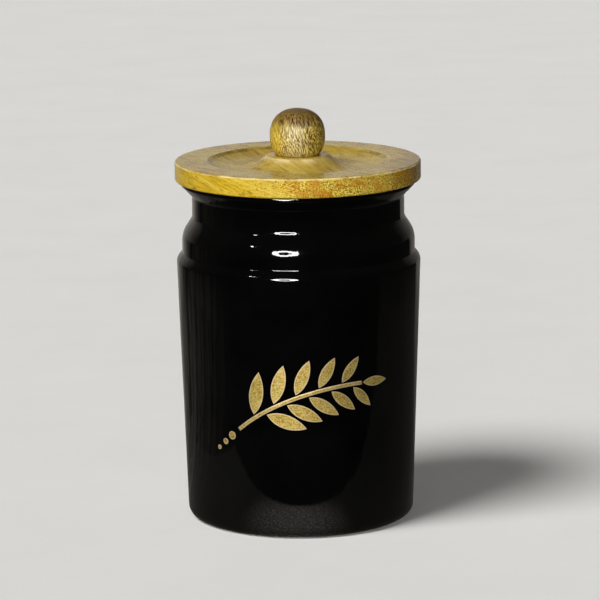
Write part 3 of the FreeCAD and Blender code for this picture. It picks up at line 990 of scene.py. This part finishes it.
class Stem:
    """Middle line of the sprig's stem: one round arc on the flat foil, from foot to tip."""

    def __init__(self):
        self.radius = ((STEM_CHORD / 2) ** 2 + STEM_BULGE**2) / (2 * STEM_BULGE)
        self.half_angle = math.asin(STEM_CHORD / 2 / self.radius)

    def heading(self, share):
        """Direction of travel, as an angle above level, at a share of the stem's length."""
        return STEM_TILT + self.half_angle * (1 - 2 * share)

    def point(self, share, side=0):
        """Point at a share of the length and a distance to the left of travel."""
        out = self.heading(share) + math.pi / 2
        middle = STEM_TILT + math.pi / 2
        rise = self.radius * math.cos(self.half_angle)
        x = (self.radius + side) * math.cos(out) - rise * math.cos(middle)
        z = (self.radius + side) * math.sin(out) - rise * math.sin(middle)
        return Vector((x, SPRIG_HEIGHT + z))


STEM = Stem()


def way_at(angle):
    return Vector((math.cos(angle), math.sin(angle)))


def bezier(poles, t):
    a, b, c, d = poles
    return a * (1 - t) ** 3 + b * (3 * t * (1 - t) ** 2) + c * (3 * t * t * (1 - t)) + d * t**3


def fill_stem(bm, layer):
    """One strip along the stem's arc."""

    def spot(i, j):
        share = i / STEM_STEPS
        side = STEM_WIDTH * (j / STEM_ACROSS_STEPS - 1 / 2)
        end = min(share, 1 - share) * STEM_CHORD
        return STEM.point(share, side), min(STEM_WIDTH / 2 - abs(side), end)

    foil_patch(bm, layer, STEM_STEPS, STEM_ACROSS_STEPS, spot)


def fill_leaf(bm, layer, base, angle, size_share):
    """One leaf between two curves from its base to its tip."""
    along = way_at(angle) * (LEAF_LENGTH * size_share)
    swell = way_at(angle + math.pi / 2) * (LEAF_WIDTH * size_share * LEAF_SWELL_SHARE)
    near = base + along * LEAF_NEAR_SHARE
    far = base + along * LEAF_FAR_SHARE
    tip = base + along

    def spot(i, j):
        t = (1 - math.cos(math.pi * i / LEAF_ALONG_STEPS)) / 2
        right = bezier((base, near - swell, far - swell, tip), t)
        left = bezier((base, near + swell, far + swell, tip), t)
        across = math.sin(math.pi / 2 * (2 * j / LEAF_ACROSS_STEPS - 1))
        return right.lerp(left, (1 + across) / 2), (left - right).length / 2 * (1 - abs(across))

    foil_patch(bm, layer, LEAF_ALONG_STEPS, LEAF_ACROSS_STEPS, spot)


def fill_leaves(bm, layer):
    """Leaves to both sides in turn, smaller towards the tip, and one at the end."""
    for i in range(LEAF_COUNT):
        place = i / (LEAF_COUNT - 1)
        share = FIRST_LEAF_SHARE + (LAST_LEAF_SHARE - FIRST_LEAF_SHARE) * place
        size_share = 1 + (LEAF_TIP_SHARE - 1) * place
        side = 1 if i % 2 == 0 else -1
        base = STEM.point(share, side * (STEM_WIDTH / 2 + LEAF_GAP))
        fill_leaf(bm, layer, base, STEM.heading(share) + side * LEAF_ANGLE, size_share)
    heading = STEM.heading(1)
    fill_leaf(bm, layer, STEM.point(1) + way_at(heading) * LEAF_GAP, heading, LEAF_TIP_SHARE)


def fill_berry(bm, layer, middle, radius):
    """One round berry, in level rows."""

    def spot(i, j):
        height = radius * math.sin(math.pi * (i / BERRY_STEPS - 1 / 2))
        half = math.sqrt(max(radius**2 - height**2, 0))
        x = half * math.sin(math.pi / 2 * (j / BERRY_RINGS - 1))
        return middle + Vector((x, height)), radius - math.hypot(x, height)

    foil_patch(bm, layer, BERRY_STEPS, 2 * BERRY_RINGS, spot)


def fill_berries(bm, layer):
    """Berries in line below the stem's foot, each smaller than the last."""
    back = -way_at(STEM.heading(0))
    for i in range(BERRY_COUNT):
        middle = STEM.point(0) + back * (BERRY_STEP * (i + 1))
        fill_berry(bm, layer, middle, BERRY_RADIUS * BERRY_SHRINK_SHARE**i)


def gold_piece(name, fill, material, node):
    """One piece of the sprig, filled in by a function of a mesh and its outline layer."""
    bm = bmesh.new()
    layer = bm.verts.layers.float.new("outline")
    fill(bm, layer)
    bmesh.ops.remove_doubles(bm, verts=bm.verts, dist=MERGE_REACH)
    bmesh.ops.dissolve_degenerate(bm, dist=FLAT_REACH, edges=bm.edges)
    return new_piece(name, bm, "jar", material, node)


# Stage: floor
FLOOR_RADIUS = 9.0
FLOOR_TONES = [(0.3, srgb(243, 242, 239)), (0.7, srgb(248, 247, 244))]
FLOOR_BOUNCE = srgb(140, 138, 134)  # colour of the light that the floor throws back up
FLOOR_CLOUDS = 14
FLOOR_GRAIN = 700
FLOOR_CLOUD_SHARE = 0.7  # weight of the clouds beside the grain


def pale_floor():
    """Plain pale grey floor, faintly mottled, that throws little light back up."""
    p = new_paint("pale_floor")
    place = p.place()
    clouds = p.noise(place, FLOOR_CLOUDS, detail=5, roughness=0.6)
    grain = p.noise(place, FLOOR_GRAIN, detail=2)
    mottle = p.sum(p.times(clouds, FLOOR_CLOUD_SHARE), p.times(grain, 1 - FLOOR_CLOUD_SHARE))
    path = p.node("ShaderNodeLightPath").outputs
    seen = p.sum(path["Is Camera Ray"], path["Is Glossy Ray"], path["Is Transmission Ray"])
    base = p.mix(seen, FLOOR_BOUNCE, p.ramp(mottle, FLOOR_TONES))
    return p.surface(Base_Color=base, Roughness=0.9, Specular_IOR_Level=0.0)


def stage_floor():
    bm = bmesh.new()
    bmesh.ops.create_circle(bm, cap_ends=True, segments=FLOOR_STEPS, radius=FLOOR_RADIUS)
    mesh_object("floor", bm, pale_floor())


# Stage: lamps, each with its azimuth (0 towards the camera, positive to the right) and elevation
LIGHT_TARGET = Vector((0, 0, 0.115))
LAMP_DISTANCE = 1.0
LAMP_PINHOLE = 0.001
RING_WAY = (math.radians(-13), math.radians(17))
RING_INNER = 0.12
RING_OUTER = 0.205
RING_STRENGTH = 34.0
LID_LAMP_RADIUS = 0.115  # within the ring
LID_LAMP_STRENGTH = 14.0
SPARK_WAY = (math.radians(-50), math.radians(37))
SPARK_RADIUS = 0.035
SPARK_STRENGTH = 40.0
KEY_WAY = (math.radians(-51), math.radians(53))
KEY_ANGLE = math.radians(25)
KEY_LEVEL = 0.74  # share of the plain light level
FRONT_WAY = (math.radians(-9), math.radians(6))
FRONT_ANGLE = math.radians(40)
FRONT_LEVEL = 0.86


def way_from(azimuth, elevation):
    """Direction from the object towards a lamp."""
    level = math.cos(elevation)
    return Vector((math.sin(azimuth) * level, -math.cos(azimuth) * level, math.sin(elevation)))


def glossy_only(name, bm, material):
    """Glowing stage mesh that shows in glossy surfaces only."""
    piece = mesh_object(name, bm, material)
    piece.visible_camera = False
    piece.visible_diffuse = False
    piece.visible_transmission = False
    piece.visible_shadow = False
    return piece


def reflector(name, way, inner, outer, strength, pieces):
    """Round lamp face, as a mirror image in some pieces only."""
    bm = bmesh.new()
    inside = ring_of_verts(bm, inner, 0, LAMP_STEPS)
    outside = ring_of_verts(bm, outer, 0, LAMP_STEPS)
    for k in range(LAMP_STEPS):
        n = (k + 1) % LAMP_STEPS
        bm.faces.new((inside[k], inside[n], outside[n], outside[k]))
    lamp = glossy_only(name, bm, new_paint(name).emit(strength))
    lamp.location = LIGHT_TARGET + way_from(*way) * LAMP_DISTANCE
    lamp.rotation_euler = (LIGHT_TARGET - lamp.location).to_track_quat("Z", "Y").to_euler()
    receivers = bpy.data.collections.new(name + "_receivers")
    for piece in pieces:
        receivers.objects.link(piece)
    lamp.light_linking.receiver_collection = receivers


def soft_sun(name, way, angle, level, shadows):
    """Wide soft lamp from far away, left out of mirror images."""
    light = bpy.data.lights.new(name, "SUN")
    light.energy = level * math.pi
    light.angle = angle
    light.use_shadow = shadows
    lamp = bpy.data.objects.new(name, light)
    lamp.rotation_euler = way_from(*way).to_track_quat("Z", "Y").to_euler()
    lamp.visible_glossy = False
    bpy.context.scene.collection.objects.link(lamp)


# Stage: dark studio as the glaze mirrors it, with a pale backdrop behind the jar
BACKDROP_GLOW = 0.66
BACKDROP_MIRRORED = srgb(250, 242, 230)
BACKDROP_SEEN = srgb(250, 249, 245)
# Parts of a direction from the jar over which a glow changes, with the backdrop's shares past its edges
SIDES = (-0.55, 0.35)
LEFT_BACK = (0.66, 0.97)
RIGHT_BACK = (0.76, 0.82)
BACKDROP_BEHIND = (0.5, 1.0)
BACKDROP_TOP = (0.3, 0.55)
BACKDROP_TOP_SHARE = 0.1
BACKDROP_LEFT = (-0.25, -0.08)
BACKDROP_LEFT_SHARE = 0.65
BACKDROP_RIGHT = (0.08, 0.25)
BACKDROP_RIGHT_SHARE = 0.3
FRONT_GLOW = 0.002
SIDE_GLOW = 0.025
CARD_GAP = 0.0003
# On the card, glows near the jar and far from it
LEFT_SIDE_GLOWS = (0.095, 0.03)
RIGHT_SIDE_GLOWS = (0.045, 0.015)
LEFT_BACK_GLOWS = (0.15, 0.42)
RIGHT_BACK_GLOWS = (0.07, 0.22)
CARD_MIDDLE = (-0.05, 0.05)  # X over which its left becomes its right
CARD_FAR = (0.3, 0.7)  # distance over which near becomes far
CARD_STREAKS = 16  # radial streaks on its left
CARD_STREAK_SHARES = (0.42, 1.65)
# Dim apron round the jar's foot, and the pale gritty spot before it
APRON_FRONT = (-0.088, -0.084)  # Y over which the apron starts
APRON_LEFT = (-0.144, -0.136)  # X over which it starts
APRON_FADE = (-0.02, 0.12)  # X over which it gets dimmer
APRON_GLOW = 0.08
APRON_RIGHT_GLOW = 0.045
APRON_FAR_SHARE = 0.2
SPOT_PLACE = (-0.006, -0.07)
SPOT_REACH = (0.035, 0.024)
SPOT_FADE = (0.3, 1.5)  # shares of its reach over which it fades
SPOT_GLOW = 0.5
SPOT_GRIT = 620
SPOT_GRIT_SHARES = (0.55, 2.1)


def apron_glow(p, place, far):
    """Dim apron with its pale spot."""
    x, y, _ = p.parts(place)
    from_left = p.remap(x, band=APRON_LEFT, to=(0.0, APRON_GLOW))
    apron = p.calc("MINIMUM", from_left, p.remap(x, band=APRON_FADE, to=(APRON_GLOW, APRON_RIGHT_GLOW)))
    apron = p.times(apron, p.remap(far, to=(1.0, APRON_FAR_SHARE)))
    across = p.calc("DIVIDE", p.minus(x, SPOT_PLACE[0]), SPOT_REACH[0])
    ahead = p.calc("DIVIDE", p.minus(y, SPOT_PLACE[1]), SPOT_REACH[1])
    apart = p.calc("SQRT", p.sum(p.times(across, across), p.times(ahead, ahead)))
    grit = p.noise(place, SPOT_GRIT, detail=2, roughness=0.7)
    grit = p.remap(grit, band=(0.42, 0.68), to=SPOT_GRIT_SHARES)
    spot = p.times(p.remap(apart, band=SPOT_FADE, to=(SPOT_GLOW, 0.0)), grit)
    return p.times(p.remap(y, band=APRON_FRONT), p.sum(apron, spot))


def dark_studio_glow():
    """Black in front, dim at the sides, brighter behind, with the apron round the jar."""
    p = new_paint("dark_studio")
    place = p.place()
    way = p.vector("NORMALIZE", place)
    backward = p.parts(way)["Y"]
    right = p.remap(p.parts(place)["X"], band=CARD_MIDDLE)
    far = p.remap(p.length(place), band=CARD_FAR)

    def by_side(left_glows, right_glows):
        return p.remap(right, to=(p.remap(far, to=left_glows), p.remap(far, to=right_glows)))

    streaks = p.noise(way, CARD_STREAKS, roughness=0.7)
    streaks = p.remap(streaks, band=(0.38, 0.66), to=CARD_STREAK_SHARES)
    side = p.times(p.remap(backward, band=SIDES), by_side(LEFT_SIDE_GLOWS, RIGHT_SIDE_GLOWS))
    side = p.times(side, p.remap(right, to=(streaks, 1.0)))
    back_band = [p.remap(right, to=ends) for ends in zip(LEFT_BACK, RIGHT_BACK)]
    back = p.times(p.remap(backward, band=back_band), by_side(LEFT_BACK_GLOWS, RIGHT_BACK_GLOWS))
    return p.emit(p.calc("MAXIMUM", apron_glow(p, place, far), p.sum(side, back)), BACKDROP_MIRRORED)


def dark_studio():
    """Card just above the floor that keeps the pale stage out of the black glaze."""
    bm = bmesh.new()
    bmesh.ops.create_grid(bm, x_segments=1, y_segments=1, size=FLOOR_RADIUS)
    card = glossy_only("dark_studio", bm, dark_studio_glow())
    card.location.z = CARD_GAP


def studio_world():
    """Dim studio with a pale backdrop low down behind the jar. The camera sees the backdrop all round."""
    world = bpy.data.worlds.new("studio")
    bpy.context.scene.world = world
    p = Paint(world)
    x, y, z = p.parts(p.node("ShaderNodeTexCoord").outputs["Generated"])
    behind = p.remap(y, band=BACKDROP_BEHIND)
    below = p.remap(z, band=BACKDROP_TOP, to=(1.0, BACKDROP_TOP_SHARE))
    left = p.remap(x, band=BACKDROP_LEFT, to=(BACKDROP_LEFT_SHARE, 1.0))
    right = p.remap(x, band=BACKDROP_RIGHT, to=(1.0, BACKDROP_RIGHT_SHARE))
    backdrop = p.times(behind, below, BACKDROP_GLOW, left, right)
    side = p.remap(y, band=SIDES, to=(FRONT_GLOW, SIDE_GLOW))
    seen = p.node("ShaderNodeLightPath").outputs["Is Camera Ray"]
    level = p.calc("MAXIMUM", p.sum(backdrop, side), p.times(seen, BACKDROP_GLOW))
    colour = p.mix(seen, BACKDROP_MIRRORED, BACKDROP_SEEN)
    p.finish(p.node("ShaderNodeBackground", {"Color": colour, "Strength": level}), "ShaderNodeOutputWorld")


def camera():
    data = bpy.data.cameras.new("camera")
    data.sensor_fit = "HORIZONTAL"
    data.angle = 2 * math.atan(FRAME_PIXELS / 2 / FOCAL_PIXELS)
    made = bpy.data.objects.new("camera", data)
    pitch = Euler((math.pi / 2 - CAMERA_PITCH, 0, 0)).to_matrix()
    roll = Matrix.Rotation(-CAMERA_ROLL, 3, "Z")
    made.rotation_euler = (pitch @ roll).to_euler()
    made.location = CAMERA_PLACE
    bpy.context.scene.collection.objects.link(made)
    bpy.context.scene.camera = made


gold = gold_foil()
glossy_pieces = [
    jar(),
    gold_piece("sprig_stem", fill_stem, gold, "gold_stem"),
    gold_piece("sprig_leaves", fill_leaves, gold, "gold_leaves"),
    gold_piece("sprig_berries", fill_berries, gold, "gold_berries"),
    lid_knob(),
]
board = lid_board()
lid_plug()
seal_ring()
screw()
stage_floor()
reflector("ring_light", RING_WAY, RING_INNER, RING_OUTER, RING_STRENGTH, glossy_pieces)
reflector("lid_light", RING_WAY, LAMP_PINHOLE, LID_LAMP_RADIUS, LID_LAMP_STRENGTH, [board])
reflector("spark_light", SPARK_WAY, LAMP_PINHOLE, SPARK_RADIUS, SPARK_STRENGTH, glossy_pieces)
dark_studio()
soft_sun("key", KEY_WAY, KEY_ANGLE, KEY_LEVEL, shadows=True)
soft_sun("front", FRONT_WAY, FRONT_ANGLE, FRONT_LEVEL, shadows=False)
studio_world()
camera()
bpy.context.scene.view_settings.view_transform = "Standard"
